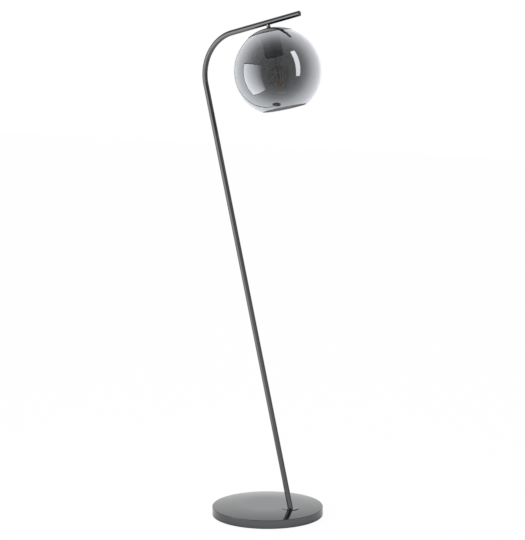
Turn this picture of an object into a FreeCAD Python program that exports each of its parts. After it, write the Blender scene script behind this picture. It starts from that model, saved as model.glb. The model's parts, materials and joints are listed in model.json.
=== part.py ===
import FreeCAD, Part
import math
import os

# Globe floor lamp: a leaning tube rises from a heavy round base, bends a quarter turn and
# carries a mirror-coated glass globe under its arm. Millimetres. The origin is the centre
# of the base on the floor, +Z is up, and the tube lies in the XZ plane with its arm
# running towards +X.

Vector = FreeCAD.Vector

# Tube, one piece: post, bend and arm
tube_diameter = 16.0
tube_wall = 1.5
lean_angle = 13.6           # of the post from vertical, and of the arm from level
post_length = 1276.0        # from the rosette's top to the bend
bend_radius = 127.0         # of the tube's centre line
arm_length = 239.5          # from the bend to the free end
stem_position = 129.0       # from the bend to the stem that carries the globe
end_plug_rim = 1.5
end_plug_depth = 10.0

# Base cover and what it hides
base_diameter = 330.0
base_rim_height = 26.0
crown_rise = 5.0            # of the cover's top above its rim
crown_flat_radius = 65.0    # of the top's level middle, from which it curves down to the rim
cover_sheet = 2.0
cover_rim_bevel = 1.0
cover_floor_gap = 1.0
weight_side_gap = 2.0
weight_top_gap = 0.2
recess_diameter = 220.0     # wiring space under the weight
recess_roof_height = 17.0
plate_sheet = 1.5
plate_side_gap = 1.5
pad_thickness = 3.0
pad_margin = 4.0            # the pad's edge inside the plate's edge
plate_screw_count = 4
plate_screw_circle = 264.0
plate_screw = 4.0
plate_screw_length = 9.0
plate_screw_head = 7.6
plate_screw_head_height = 2.2
pad_screw_hole = 10.0

# Foot of the post
foot_offset = 81.0          # of the post's foot from the base's centre
rosette_diameter = 50.0
rosette_rise = 1.0
rosette_bevel = 0.4
post_insertion = 6.3        # of the tube below the rosette's top
weight_web = 5.5            # iron left between the tube's end and the nut
foot_plug_depth = 20.0
foot_spigot_diameter = 10.0
foot_washer_sheet = 0.8
foot_nut_height = 3.5
foot_nut_flats = 14.0
foot_nut_pocket = 26.0
spigot_standout = 0.7

# Mains inlet and wiring in the base
inlet_height = 11.0
inlet_bore = 7.2
bushing_neck = 10.8
bushing_flange = 15.0
bushing_flange_sheet = 1.2
channel_width = 16.0
grip_position = -92.0       # of the cord grip along X
grip_length = 10.0
grip_width = 28.0
grip_screw_spacing = 19.0
grip_plate_gap = 1.0        # between the grip and the plate below it
block_position = 38.0       # of the terminal block along X
block_length = 18.0
block_width = 22.0
block_height = 11.5
block_pole_spacing = 13.0
block_tube_diameter = 5.0
block_tube_bore = 3.0
block_tube_inset = 1.0      # of a brass tube's ends inside the block's
block_screw = 2.5
roof_screw = 3.0            # screws up into the weight, for the grip and the block
roof_screw_depth = 3.0
roof_screw_head = 5.4
roof_screw_head_height = 1.8
roof_screw_sink = 2.5

# Inner lead
lead_diameter = 4.0
lead_foot_bend = 6.0
lead_stem_bend = 4.5
lead_seat_depth = 1.0       # of the lead's end in the terminal block
lead_core_hole_gap = 0.6    # round the lead in the foot plug

# Stem, cap and globe, measured along the stem from the globe's centre
globe_drop = 143.0          # from the arm's centre line to the globe's centre
globe_diameter = 253.0
glass_wall = 3.0
globe_top_hole = 40.0
globe_mouth = 127.0
cap_diameter = 128.0
cap_sheet = 0.8
cap_gasket_sheet = 0.3
gasket_diameter = 54.0
stem_diameter = 8.0
stem_bore = 5.5
stem_thread_depth = 3.0     # of the stem's top below the arm's centre line
spacer_diameter = 11.0
spacer_foot_diameter = 15.0
spacer_foot_height = 3.0
stem_insert_length = 18.0
stem_insert_bore = 7.0

# Holder cup and lampholder
cup_diameter = 55.0
cup_sheet = 1.2
cup_top_sheet = 1.5
cup_edge_height = 43.0      # of the cup's lower edge above the globe's centre
cup_edge_round = 3.0
cup_gasket_sheet = 0.6
clamp_washer_diameter = 18.0
clamp_washer_sheet = 1.0
clamp_nut_flats = 13.0
clamp_nut_height = 4.0
holder_recess = 6.0         # of the holder's mouth above the cup's edge
holder_diameter = 39.0
holder_wall = 3.5
skirt_height = 33.0
holder_dome_height = 17.0
holder_lip = 1.5
insert_floor = 6.0
shell_wall = 0.5
shell_length = 24.0
contact_sheet = 0.6
terminal_screw_diameter = 3.0

# Filament lamp with an Edison-size cap
cap_crest_diameter = 26.0
cap_thread_pitch = 3.6
cap_thread_depth = 0.9
cap_thread_turns = 4
cap_wall = 0.5
bulb_cap_height = 22.0
bulb_glass_wall = 0.8
bulb_neck_diameter = 23.6
contact_button_diameter = 9.0
contact_button_height = 1.5
insulator_height = 3.0
filament_count = 4
filament_diameter = 1.9
filament_top_circle = 26.0
filament_bottom_circle = 11.0
filament_top_height = 7.0
filament_length = 50.0
support_wire = 0.8

# Clearances
running_gap = 0.3           # between the turning bulb and its holder
slip_gap = 0.1              # between pieces that slide together
hole_gap = 0.3              # round a screw, spigot or lead
gasket_gap = 0.05           # between a soft ring and the curved glass it lies on

# Bulb outline below its cap: height from the globe's centre, radius
bulb_outline = [
    (33.0, 11.8), (21.0, 12.0), (11.0, 16.5), (3.0, 25.0), (-6.0, 31.0), (-13.0, 31.0),
    (-23.0, 28.6), (-37.0, 24.6), (-51.0, 19.8), (-60.0, 14.6), (-64.5, 8.2),
]
bulb_tip_height = -66.5

tube_radius = tube_diameter / 2
tube_bore_radius = tube_radius - tube_wall
base_radius = base_diameter / 2
globe_radius = globe_diameter / 2
plate_top = pad_thickness + plate_sheet
plate_radius = base_radius - cover_sheet - plate_side_gap
weight_radius = base_radius - cover_sheet - weight_side_gap
lean = FreeCAD.Rotation(Vector(0, 1, 0), -lean_angle)
up = lean.multVec(Vector(0, 0, 1))
along = lean.multVec(Vector(1, 0, 0))


def crown_height(radius, drop):
    """Height of the base's crowned top at a radius, or of a face lying drop below it."""
    reach = base_radius - cover_rim_bevel - crown_flat_radius
    curve = (reach ** 2 + crown_rise ** 2) / (2 * crown_rise)
    beyond = max(radius - crown_flat_radius, 0)
    return base_rim_height + crown_rise - drop - curve + math.sqrt(curve ** 2 - beyond ** 2)


foot = Vector(foot_offset, 0, crown_height(foot_offset, 0) + rosette_rise)
bend_start = foot + up * post_length
bend_centre = bend_start + along * bend_radius
bend_end = bend_centre + up * bend_radius
arm_end = bend_end + along * arm_length
stem_top = bend_end + along * stem_position
globe_centre = stem_top - up * globe_drop


def at_lean(shape, origin):
    """Carry a shape from its own frame to one that leans with the post."""
    placement = FreeCAD.Placement(origin, lean)
    return shape.transformed(placement.Matrix, True)


def disc(radius, bottom, top, x=0.0, y=0.0):
    return Part.makeCylinder(radius, top - bottom, Vector(x, y, bottom))


def ring(outer, inner, bottom, top):
    return disc(outer, bottom, top).cut(disc(inner, bottom, top))


def hexagon(flats, bottom, top, bore):
    corner = flats / math.sqrt(3)
    points = [Vector(corner * math.cos(math.radians(60 * side)),
                     corner * math.sin(math.radians(60 * side)), bottom) for side in range(7)]
    face = Part.Face(Part.makePolygon(points))
    return face.extrude(Vector(0, 0, top - bottom)).cut(disc(bore, bottom, top))


def revolved(edges):
    """Turn a closed outline in the XZ plane about Z."""
    face = Part.Face(Part.Wire(edges))
    return face.revolve(Vector(0, 0, 0), Vector(0, 0, 1), 360)


def outline(points):
    """Straight edges through (radius, height) points, closed."""
    corners = [Vector(radius, 0, height) for radius, height in points]
    corners.append(corners[0])
    return Part.makePolygon(corners).Edges


def line(start, end):
    return Part.LineSegment(start, end).toShape()


def arc(start, middle, end):
    return Part.Arc(start, middle, end).toShape()


def round_bar(diameter, edges):
    """Sweep a circle along tangent lines and arcs."""
    start = edges[0].valueAt(edges[0].FirstParameter)
    heading = edges[0].tangentAt(edges[0].FirstParameter)
    circle = Part.Wire(Part.makeCircle(diameter / 2, start, heading))
    return Part.Wire(edges).makePipeShell([circle], True, False)


def screw(diameter, length, head_diameter, head_height):
    """Pan-head screw pointing up, its head's bearing face at height 0."""
    shank = disc(diameter / 2, 0, length)
    head = disc(head_diameter / 2, -head_height, 0)
    slot = Part.makeBox(head_diameter + 1, 0.2 * head_diameter, 0.5 * head_height,
                        Vector(-head_diameter / 2 - 0.5, -0.1 * head_diameter, -head_height))
    return shank.fuse(head).cut(slot).removeSplitter()


def moved(shape, x, y, z):
    copy = shape.copy()
    copy.translate(Vector(x, y, z))
    return copy


def crowned_disc(radius, bottom, drop, bevel=0.0):
    """Round slab from bottom up to a face lying drop below the base's crowned top."""
    shoulder = radius - bevel
    halfway = (shoulder + crown_flat_radius) / 2
    rim = Vector(shoulder, 0, crown_height(shoulder, drop))
    middle = Vector(halfway, 0, crown_height(halfway, drop))
    level_edge = Vector(crown_flat_radius, 0, crown_height(0, drop))
    top = Vector(0, 0, level_edge.z)
    centre = Vector(0, 0, bottom)
    corner = Vector(radius, 0, bottom)
    edges = [line(centre, corner)]
    if bevel > 0:
        bevel_foot = Vector(radius, 0, rim.z - bevel)
        edges += [line(corner, bevel_foot), line(bevel_foot, rim)]
    else:
        edges.append(line(corner, rim))
    edges += [arc(rim, middle, level_edge), line(level_edge, top), line(top, centre)]
    return revolved(edges)


def tube_route():
    middle = bend_centre + (up - along) * (bend_radius / math.sqrt(2))
    start = foot - up * post_insertion
    return [line(start, bend_start), arc(bend_start, middle, bend_end), line(bend_end, arm_end)]


def spigot_end():
    """How far the foot plug's spigot reaches below the rosette's top, along the post."""
    return post_insertion + weight_web + foot_washer_sheet + foot_nut_height + spigot_standout


def lead_foot_arc():
    """The lead's turn from the post's line to level, under the spigot: start, middle, end."""
    start = foot - up * (spigot_end() + hole_gap)
    centre = start - along * lead_foot_bend
    end = centre - Vector(0, 0, lead_foot_bend)
    half = (start - centre) + (end - centre)
    middle = centre + half.normalize() * lead_foot_bend
    return start, middle, end


def block_face():
    return block_position + block_length / 2


def lead_height():
    return lead_foot_arc()[2].z


def holder_mouth():
    return cup_edge_height + holder_recess


def insert_top():
    return holder_mouth() + skirt_height + insert_floor / 2


def lead_route():
    start, middle, end = lead_foot_arc()
    entry = Vector(block_face() - lead_seat_depth + slip_gap, 0, end.z)
    bend_middle = bend_centre + (up - along) * (bend_radius / math.sqrt(2))
    turn_start = stem_top - along * lead_stem_bend
    turn_end = stem_top - up * lead_stem_bend
    turn_centre = turn_start - up * lead_stem_bend
    turn_middle = turn_centre + (up + along) * (lead_stem_bend / math.sqrt(2))
    finish = globe_centre + up * insert_top()
    return [
        line(entry, end), arc(end, middle, start), line(start, bend_start),
        arc(bend_start, bend_middle, bend_end), line(bend_end, turn_start),
        arc(turn_start, turn_middle, turn_end), line(turn_end, finish),
    ]


def base_cover():
    shell = crowned_disc(base_radius, cover_floor_gap, 0, cover_rim_bevel)
    shell = shell.cut(crowned_disc(base_radius - cover_sheet, cover_floor_gap, cover_sheet))
    post_hole = at_lean(disc(tube_radius + hole_gap, -60, 60), foot)
    inlet = Part.makeCylinder(bushing_neck / 2 + slip_gap, 3 * cover_sheet,
                              Vector(-base_radius - cover_sheet, 0, inlet_height), Vector(1, 0, 0))
    return shell.cut(post_hole).cut(inlet)


def base_weight():
    body = crowned_disc(weight_radius, plate_top, cover_sheet + weight_top_gap)
    body = body.cut(disc(recess_diameter / 2, plate_top, recess_roof_height))
    channel = Part.makeBox(base_radius, channel_width, recess_roof_height - plate_top,
                           Vector(-base_radius, -channel_width / 2, plate_top))
    body = body.cut(channel)
    socket = disc(tube_radius + slip_gap, -post_insertion, 60)
    spigot_hole = disc(foot_spigot_diameter / 2 + hole_gap, -60, 60)
    seat = -post_insertion - weight_web
    nut_pocket = disc(foot_nut_pocket / 2, seat - 60, seat)
    for cutter in (socket, spigot_hole, nut_pocket):
        body = body.cut(at_lean(cutter, foot))
    blind_end = pad_thickness + plate_screw_length + 1
    for x, y in plate_screw_places():
        body = body.cut(disc(plate_screw / 2 + slip_gap, plate_top - 1, blind_end, x, y))
    roof_screws = [(grip_position, y) for y in grip_screw_places()]
    roof_screws.append((block_position, 0))
    roof_end = recess_roof_height + roof_screw_depth + 1
    for x, y in roof_screws:
        body = body.cut(disc(roof_screw / 2 + slip_gap, recess_roof_height - 1, roof_end, x, y))
    return body


def grip_screw_places():
    return (-grip_screw_spacing / 2, grip_screw_spacing / 2)


def plate_screw_places():
    places = []
    for index in range(plate_screw_count):
        angle = math.radians(45 + 360 / plate_screw_count * index)
        places.append((plate_screw_circle / 2 * math.cos(angle), plate_screw_circle / 2 * math.sin(angle)))
    return places


def bottom_plate():
    plate = disc(plate_radius, pad_thickness, plate_top)
    for x, y in plate_screw_places():
        plate = plate.cut(disc(plate_screw / 2 + hole_gap, pad_thickness - 1, plate_top + 1, x, y))
    return plate


def foot_pad():
    pad = disc(plate_radius - pad_margin, 0, pad_thickness)
    for x, y in plate_screw_places():
        pad = pad.cut(disc(pad_screw_hole / 2, -1, pad_thickness + 1, x, y))
    return pad


def plate_screws():
    one = screw(plate_screw, plate_screw_length, plate_screw_head, plate_screw_head_height)
    return Part.makeCompound([moved(one, x, y, pad_thickness) for x, y in plate_screw_places()])


def cable_bushing():
    inner = base_radius - cover_sheet
    reach = bushing_flange_sheet
    half = bushing_flange / 2
    neck = bushing_neck / 2
    profile = outline([
        (inlet_bore / 2, -reach), (half, -reach), (half, 0), (neck, 0), (neck, cover_sheet),
        (half, cover_sheet), (half, cover_sheet + reach), (inlet_bore / 2, cover_sheet + reach),
    ])
    body = revolved(profile)
    body.rotate(Vector(0, 0, 0), Vector(0, 1, 0), -90)
    body.translate(Vector(-inner, 0, inlet_height))
    cover = crowned_disc(base_radius, cover_floor_gap, 0, cover_rim_bevel)
    cover = cover.cut(crowned_disc(inner, cover_floor_gap, cover_sheet))
    window = Part.makeCylinder(neck + slip_gap, 3 * cover_sheet,
                               Vector(-base_radius - cover_sheet, 0, inlet_height), Vector(1, 0, 0))
    return body.cut(cover.cut(window))


def grip_bottom():
    return plate_top + grip_plate_gap


def roof_screw_pocket(bottom, x, y):
    """Cutter for a sunk screw that goes up into the weight."""
    shank = disc(roof_screw / 2 + hole_gap, bottom, recess_roof_height, x, y)
    return shank.fuse(disc(roof_screw_head / 2 + hole_gap, bottom, bottom + roof_screw_sink, x, y))


def sunk_roof_screw(bottom, x, y):
    length = recess_roof_height - bottom - roof_screw_sink + roof_screw_depth
    one = screw(roof_screw, length, roof_screw_head, roof_screw_head_height)
    return moved(one, x, y, bottom + roof_screw_sink)


def cord_grip():
    low = grip_bottom()
    high = recess_roof_height
    left = grip_position - grip_length / 2
    body = Part.makeBox(grip_length, grip_width, high - low, Vector(left, -grip_width / 2, low))
    arch = Part.makeCylinder(inlet_bore / 2, grip_length, Vector(left, 0, inlet_height), Vector(1, 0, 0))
    corner = Vector(left, -inlet_bore / 2, inlet_height)
    slot = Part.makeBox(grip_length, inlet_bore, high - inlet_height, corner)
    body = body.cut(arch).cut(slot)
    for y in grip_screw_places():
        body = body.cut(roof_screw_pocket(low, grip_position, y))
    return body


def cord_grip_screws():
    return Part.makeCompound([sunk_roof_screw(grip_bottom(), grip_position, y) for y in grip_screw_places()])


def block_bottom():
    return recess_roof_height - block_height


def block_poles():
    return (-block_pole_spacing / 2, block_pole_spacing / 2)


def block_screw_places():
    columns = (block_position - block_length / 4, block_position + block_length / 4)
    return [(x, y) for y in block_poles() for x in columns]


def bar_along_x(diameter, inset, y):
    """Round bar through the block along a pole, short of the block's ends by inset."""
    start = Vector(block_position - block_length / 2 + inset, y, inlet_height)
    return Part.makeCylinder(diameter / 2, block_length - 2 * inset, start, Vector(1, 0, 0))


def terminal_block():
    corner = Vector(block_position - block_length / 2, -block_width / 2, block_bottom())
    body = Part.makeBox(block_length, block_width, block_height, corner)
    for y in block_poles():
        body = body.cut(bar_along_x(block_tube_diameter, 0, y))
    for x, y in block_screw_places():
        body = body.cut(disc(block_screw / 2 + hole_gap, block_bottom(), inlet_height, x, y))
    body = body.cut(roof_screw_pocket(block_bottom(), block_position, 0))
    seat = Vector(block_face() - lead_seat_depth, 0, lead_height())
    return body.cut(Part.makeCylinder(lead_diameter / 2 + slip_gap, lead_seat_depth, seat, Vector(1, 0, 0)))


def block_tubes():
    tubes = []
    for y in block_poles():
        tube = bar_along_x(block_tube_diameter, block_tube_inset, y).cut(bar_along_x(block_tube_bore, 0, y))
        tubes.append(tube)
    radius = block_screw / 2 + slip_gap
    holes = [disc(radius, block_bottom(), inlet_height, x, y) for x, y in block_screw_places()]
    return Part.makeCompound(tubes).cut(Part.makeCompound(holes))


def block_screws():
    screws = []
    for x, y in block_screw_places():
        screws.append(disc(block_screw / 2, block_bottom() + hole_gap, inlet_height - hole_gap, x, y))
    return Part.makeCompound(screws)


def block_fixing_screw():
    return sunk_roof_screw(block_bottom(), block_position, 0)


def post_rosette():
    plate = disc(rosette_diameter / 2, foot.z - 4 * rosette_rise, foot.z, foot.x)
    rim = [edge for edge in plate.Edges if abs(edge.BoundBox.ZMin - foot.z) < 0.01 and edge.Closed]
    plate = plate.makeChamfer(min(rosette_bevel, 0.4 * rosette_rise), rim)
    plate = plate.cut(crowned_disc(base_radius, cover_floor_gap, 0, cover_rim_bevel))
    return plate.cut(at_lean(disc(tube_radius, -60, 60), foot))


def foot_plug():
    body = disc(tube_bore_radius - slip_gap, -post_insertion, foot_plug_depth - post_insertion)
    spigot = disc(foot_spigot_diameter / 2, -spigot_end(), -post_insertion)
    bore = disc(lead_diameter / 2 + lead_core_hole_gap, -spigot_end(), foot_plug_depth)
    return at_lean(body.fuse(spigot).cut(bore).removeSplitter(), foot)


def foot_washer():
    top = -post_insertion - weight_web
    washer = ring(0.36 * foot_nut_pocket, foot_spigot_diameter / 2 + slip_gap, top - foot_washer_sheet, top)
    return at_lean(washer, foot)


def foot_nut():
    top = -post_insertion - weight_web - foot_washer_sheet
    return at_lean(hexagon(foot_nut_flats, top - foot_nut_height, top, foot_spigot_diameter / 2), foot)


def post_tube():
    tube = round_bar(tube_diameter, tube_route()).cut(round_bar(2 * tube_bore_radius, tube_route()))
    stem_hole = disc(stem_diameter / 2 + slip_gap, -2 * tube_radius, 0)
    return tube.cut(at_lean(stem_hole, stem_top))


def arm_end_plug():
    inner_end = arm_end - along * end_plug_depth
    spigot = Part.makeCylinder(tube_bore_radius - slip_gap, end_plug_depth, inner_end, along)
    rim = Part.makeCylinder(tube_radius, end_plug_rim, arm_end, along)
    outer = [edge for edge in rim.Edges if edge.Closed
             and (edge.CenterOfMass - (arm_end + along * end_plug_rim)).Length < 0.01]
    rim = rim.makeFillet(0.4 * end_plug_rim, outer)
    return spigot.fuse(rim).removeSplitter()


def stem_insert():
    """Steel slug inside the arm that takes the stem's thread and turns the lead down."""
    half = stem_insert_length / 2
    radius = tube_bore_radius - slip_gap
    slug = Part.makeCylinder(radius, stem_insert_length, Vector(-half, 0, 0), Vector(1, 0, 0))
    reach = half + stem_insert_bore / 2
    way_in = Part.makeCylinder(stem_insert_bore / 2, reach, Vector(-half, 0, 0), Vector(1, 0, 0))
    thread = disc(stem_diameter / 2, -2 * tube_radius, 0)
    return at_lean(slug.cut(way_in).cut(thread), stem_top)


def circles_at(shape, height):
    return [edge for edge in shape.Edges if edge.Closed and abs(edge.CenterOfMass.z - height) < 0.01]


def ball(radius):
    return Part.makeSphere(radius)


def spherical_shell(outer, inner, rim_radius, hole_radius):
    """Piece of a hollow ball about the top pole, from a hole out to a rim."""
    shell = ball(outer).cut(ball(inner))
    sleeve = ring(rim_radius, hole_radius, 0, 2 * outer)
    return shell.common(sleeve)


def cap_inner():
    return globe_radius + cap_gasket_sheet


def cap_outer():
    return cap_inner() + cap_sheet


def stem_nipple():
    """Threaded tube from the arm down into the lampholder."""
    top = globe_drop - stem_thread_depth
    bottom = dome_top() - 8.0
    return at_lean(ring(stem_diameter / 2, stem_bore / 2, bottom, top), globe_centre)


def stem_spacer():
    """Turned sleeve between the arm and the cap, with a flared foot."""
    radius = spacer_diameter / 2
    foot_radius = spacer_foot_diameter / 2
    seat = math.sqrt(cap_outer() ** 2 - foot_radius ** 2)
    flare = Part.makeCone(foot_radius, radius, spacer_foot_height, Vector(0, 0, seat))
    body = disc(radius, 0, globe_drop).fuse(flare).fuse(disc(foot_radius, seat - 1, seat))
    body = body.cut(disc(stem_diameter / 2 + slip_gap, 0, globe_drop)).cut(ball(cap_outer()))
    body = at_lean(body, globe_centre)
    arm = Part.makeCylinder(tube_radius, 4 * tube_diameter, stem_top - along * 2 * tube_diameter, along)
    return body.cut(arm)


def globe_cap():
    cap = spherical_shell(cap_outer(), cap_inner(), cap_diameter / 2, stem_diameter / 2 + slip_gap)
    return at_lean(cap, globe_centre)


def cap_gasket():
    gasket = spherical_shell(cap_inner(), globe_radius, gasket_diameter / 2, globe_top_hole / 2)
    return at_lean(gasket, globe_centre)


def mouth_height():
    return -math.sqrt((globe_radius - glass_wall / 2) ** 2 - (globe_mouth / 2) ** 2)


def glass_globe():
    """Blown ball with a hole at the top and a wide mouth below, both edges fire-rounded."""
    glass = ball(globe_radius).cut(ball(globe_radius - glass_wall))
    glass = glass.cut(disc(globe_top_hole / 2, 0, 2 * globe_radius))
    glass = glass.cut(disc(globe_mouth / 2, -2 * globe_radius, 0))
    edges = [edge for edge in glass.Edges if edge.Closed and edge.Length > 1
             and abs(edge.BoundBox.ZLength) < 0.01 and abs(edge.CenterOfMass.z) > 1]
    glass = glass.makeFillet(0.35 * glass_wall, edges)
    return at_lean(glass, globe_centre)


def cup_top():
    """Height of the cup's flat top, just under the glass at the cup's edge."""
    inner = globe_radius - glass_wall
    return math.sqrt(inner ** 2 - (cup_diameter / 2) ** 2) - cup_gasket_sheet


def cup_gasket():
    """Soft ring between the cup's flat top and the glass above it."""
    body = ring(gasket_diameter / 2, globe_top_hole / 2 + 1.0, cup_top(), globe_radius)
    return at_lean(body.common(ball(globe_radius - glass_wall - gasket_gap)), globe_centre)


def holder_cup():
    radius = cup_diameter / 2
    body = disc(radius, cup_edge_height, cup_top())
    inside = disc(radius - cup_sheet, cup_edge_height, cup_top() - cup_top_sheet)
    body = body.makeFillet(cup_edge_round, circles_at(body, cup_edge_height))
    # a rolled lip closes the rounded lower edge
    lip_height = cup_edge_height + cup_edge_round
    inside = disc(radius - cup_sheet, lip_height, cup_top() - cup_top_sheet)
    mouth = disc(radius - cup_edge_round, cup_edge_height, lip_height)
    body = body.cut(inside).cut(mouth)
    body = body.cut(disc(stem_diameter / 2 + slip_gap, cup_top() - 2 * cup_top_sheet, cup_top() + 1))
    return at_lean(body, globe_centre)


def clamp_washer():
    top = cup_top() - cup_top_sheet
    washer = ring(clamp_washer_diameter / 2, stem_diameter / 2 + slip_gap, top - clamp_washer_sheet, top)
    return at_lean(washer, globe_centre)


def clamp_nut():
    top = cup_top() - cup_top_sheet - clamp_washer_sheet
    nut = hexagon(clamp_nut_flats, top - clamp_nut_height, top, stem_diameter / 2)
    return at_lean(nut, globe_centre)


def skirt_top():
    return holder_mouth() + skirt_height


def dome_top():
    return skirt_top() + holder_dome_height


def shell_bore():
    return cap_crest_diameter / 2 + running_gap


def holder_skirt():
    inner = holder_diameter / 2 - holder_wall
    body = ring(holder_diameter / 2, inner, holder_mouth(), skirt_top())
    lip = ring(inner, shell_bore(), holder_mouth(), holder_mouth() + holder_lip)
    return at_lean(body.fuse(lip).removeSplitter(), globe_centre)


def insert_bottom():
    return holder_mouth() + holder_lip + shell_length + 3.0


def holder_insert():
    """Moulded core with the terminals, trapped between the skirt and the dome."""
    radius = holder_diameter / 2 - holder_wall - slip_gap
    body = disc(radius, insert_bottom(), insert_top())
    for x in insert_terminals():
        body = body.cut(disc(terminal_screw_diameter / 2, insert_bottom() + 1.0, insert_top(), x))
    return at_lean(body, globe_centre)


def insert_terminals():
    return (-9.5, 9.5)


def insert_screws():
    """Terminal screws for the lead's two cores, their heads proud of the core's top."""
    screws = []
    for x in insert_terminals():
        shank = disc(terminal_screw_diameter / 2, insert_bottom() + 1.0, insert_top(), x)
        head = disc(terminal_screw_diameter, insert_top(), insert_top() + 1.8, x)
        screws.append(shank.fuse(head).removeSplitter())
    return at_lean(Part.makeCompound(screws), globe_centre)


def holder_dome():
    radius = holder_diameter / 2
    roof = 3.0
    body = disc(radius, skirt_top(), dome_top())
    body = body.makeFillet(0.35 * holder_dome_height, circles_at(body, dome_top()))
    body = body.cut(disc(radius - holder_wall, skirt_top(), skirt_top() + 0.45 * holder_dome_height))
    body = body.cut(disc(0.55 * radius, skirt_top(), dome_top() - roof))
    body = body.cut(disc(stem_diameter / 2, skirt_top(), dome_top() + 1))
    return at_lean(body, globe_centre)


def dome_nut():
    nut = hexagon(clamp_nut_flats, dome_top(), dome_top() + 0.9 * clamp_nut_height, stem_diameter / 2)
    return at_lean(nut, globe_centre)


def thread_shell():
    low = holder_mouth() + holder_lip
    shell = ring(shell_bore() + shell_wall, shell_bore(), low, low + shell_length)
    foot_ring = ring(shell_bore() + shell_wall, shell_bore() - 3.0, low + shell_length, insert_bottom())
    return at_lean(shell.fuse(foot_ring).removeSplitter(), globe_centre)


def button_top():
    """Height of the lamp's contact button when it is screwed home."""
    return holder_mouth() - 1.0 + bulb_cap_height + insulator_height + contact_button_height


def centre_contact():
    """Spring tongue: a flat foot on the core, an arm that dips to the lamp's button."""
    half_width = 3.0
    low = button_top() + running_gap
    high = insert_bottom()
    points = [
        (-7.0, high), (7.0, high), (7.0, high - contact_sheet), (4.5, high - contact_sheet),
        (1.5, low), (-1.5, low), (-7.0, high - contact_sheet),
    ]
    inner = [
        (-4.6, high - contact_sheet), (3.2, high - contact_sheet),
        (0.9, low + contact_sheet), (-1.0, low + contact_sheet),
    ]
    solids = []
    for corners in (points, inner):
        wire = Part.makePolygon([Vector(x, -half_width, z) for x, z in corners + corners[:1]])
        solids.append(Part.Face(wire).extrude(Vector(0, 2 * half_width, 0)))
    return at_lean(solids[0].cut(solids[1]), globe_centre)


def bulb_seat():
    """Height of the rim of the lamp's cap."""
    return holder_mouth() - 1.0


def bulb_cap():
    crest = cap_crest_diameter / 2
    root = crest - cap_thread_depth
    seat = bulb_seat()
    top = seat + bulb_cap_height
    skirt = 4.0
    points = [(crest - 0.3, seat), (crest - 0.3, seat + skirt - 1.0), (root, seat + skirt)]
    for turn in range(cap_thread_turns):
        low = seat + skirt + turn * cap_thread_pitch
        points.append((crest, low + cap_thread_pitch / 2))
        points.append((root, low + cap_thread_pitch))
    points += [(0.62 * crest, top), (0.62 * crest - cap_wall, top)]
    inner_top = seat + skirt + cap_thread_turns * cap_thread_pitch
    points += [(root - cap_wall, inner_top), (root - cap_wall, seat)]
    return at_lean(revolved(outline(points)), globe_centre)


def bulb_insulator():
    low = bulb_seat() + bulb_cap_height
    outer = 0.62 * cap_crest_diameter / 2
    button = contact_button_diameter / 2
    cone = Part.makeCone(outer, button + 1.0, insulator_height, Vector(0, 0, low))
    return at_lean(cone, globe_centre)


def contact_button():
    low = bulb_seat() + bulb_cap_height + insulator_height
    high = low + contact_button_height
    body = disc(contact_button_diameter / 2, low, high)
    return at_lean(body.makeFillet(0.6 * contact_button_height, circles_at(body, high)), globe_centre)


def bulb_profile(inset):
    """Revolved solid of the bulb's outline, drawn in by inset."""
    neck_top = bulb_seat() + 6.0
    neck = Vector(bulb_neck_diameter / 2 - inset, 0, bulb_seat())
    points = [neck]
    points += [Vector(radius - inset, 0, height) for height, radius in bulb_outline]
    tip = Vector(0, 0, bulb_tip_height + inset)
    points.append(tip)
    curve = Part.BSplineCurve()
    curve.interpolate(Points=points, InitialTangent=Vector(0, 0, -1), FinalTangent=Vector(-1, 0, 0))
    top = Vector(neck.x, 0, neck_top)
    centre = Vector(0, 0, neck_top)
    edges = [line(centre, top), line(top, neck), curve.toShape(), line(tip, centre)]
    return revolved(edges)


def bulb_glass():
    glass = bulb_profile(0).cut(bulb_profile(bulb_glass_wall))
    cap_bore = cap_crest_diameter / 2 - cap_thread_depth - cap_wall
    neck = disc(cap_bore, bulb_seat(), bulb_seat() + 20)
    lower = disc(globe_radius, -globe_radius, bulb_seat())
    return at_lean(glass.common(neck.fuse(lower)), globe_centre)


def stem_tip():
    """Height of the lower end of the lamp's glass stem."""
    return filament_top_height + 5.0


def bulb_stem():
    flare = bulb_neck_diameter / 2 - bulb_glass_wall - slip_gap
    top = bulb_seat() + 5.0
    points = [(0, top), (flare, top), (flare, top - 1.2), (3.4, top - 14.0), (2.6, stem_tip() + 4.0),
              (2.6, stem_tip() + 1.0), (1.6, stem_tip()), (0, stem_tip())]
    return at_lean(revolved(outline(points)), globe_centre)


def filament_ends(index):
    angle = math.radians(45 + 360 / filament_count * index)
    heading = Vector(math.cos(angle), math.sin(angle), 0)
    spread = (filament_top_circle - filament_bottom_circle) / 2
    fall = math.sqrt(filament_length ** 2 - spread ** 2)
    top = heading * (filament_top_circle / 2) + Vector(0, 0, filament_top_height)
    bottom = heading * (filament_bottom_circle / 2) + Vector(0, 0, filament_top_height - fall)
    return top, bottom


def filaments_plain():
    rods = []
    for index in range(filament_count):
        top, bottom = filament_ends(index)
        rods.append(Part.makeCylinder(filament_diameter / 2, filament_length, top, bottom - top))
    return rods


def bulb_filaments():
    return at_lean(Part.makeCompound(filaments_plain()), globe_centre)


def wire_between(start, end):
    return Part.makeCylinder(support_wire / 2, (end - start).Length, start, end - start)


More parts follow.
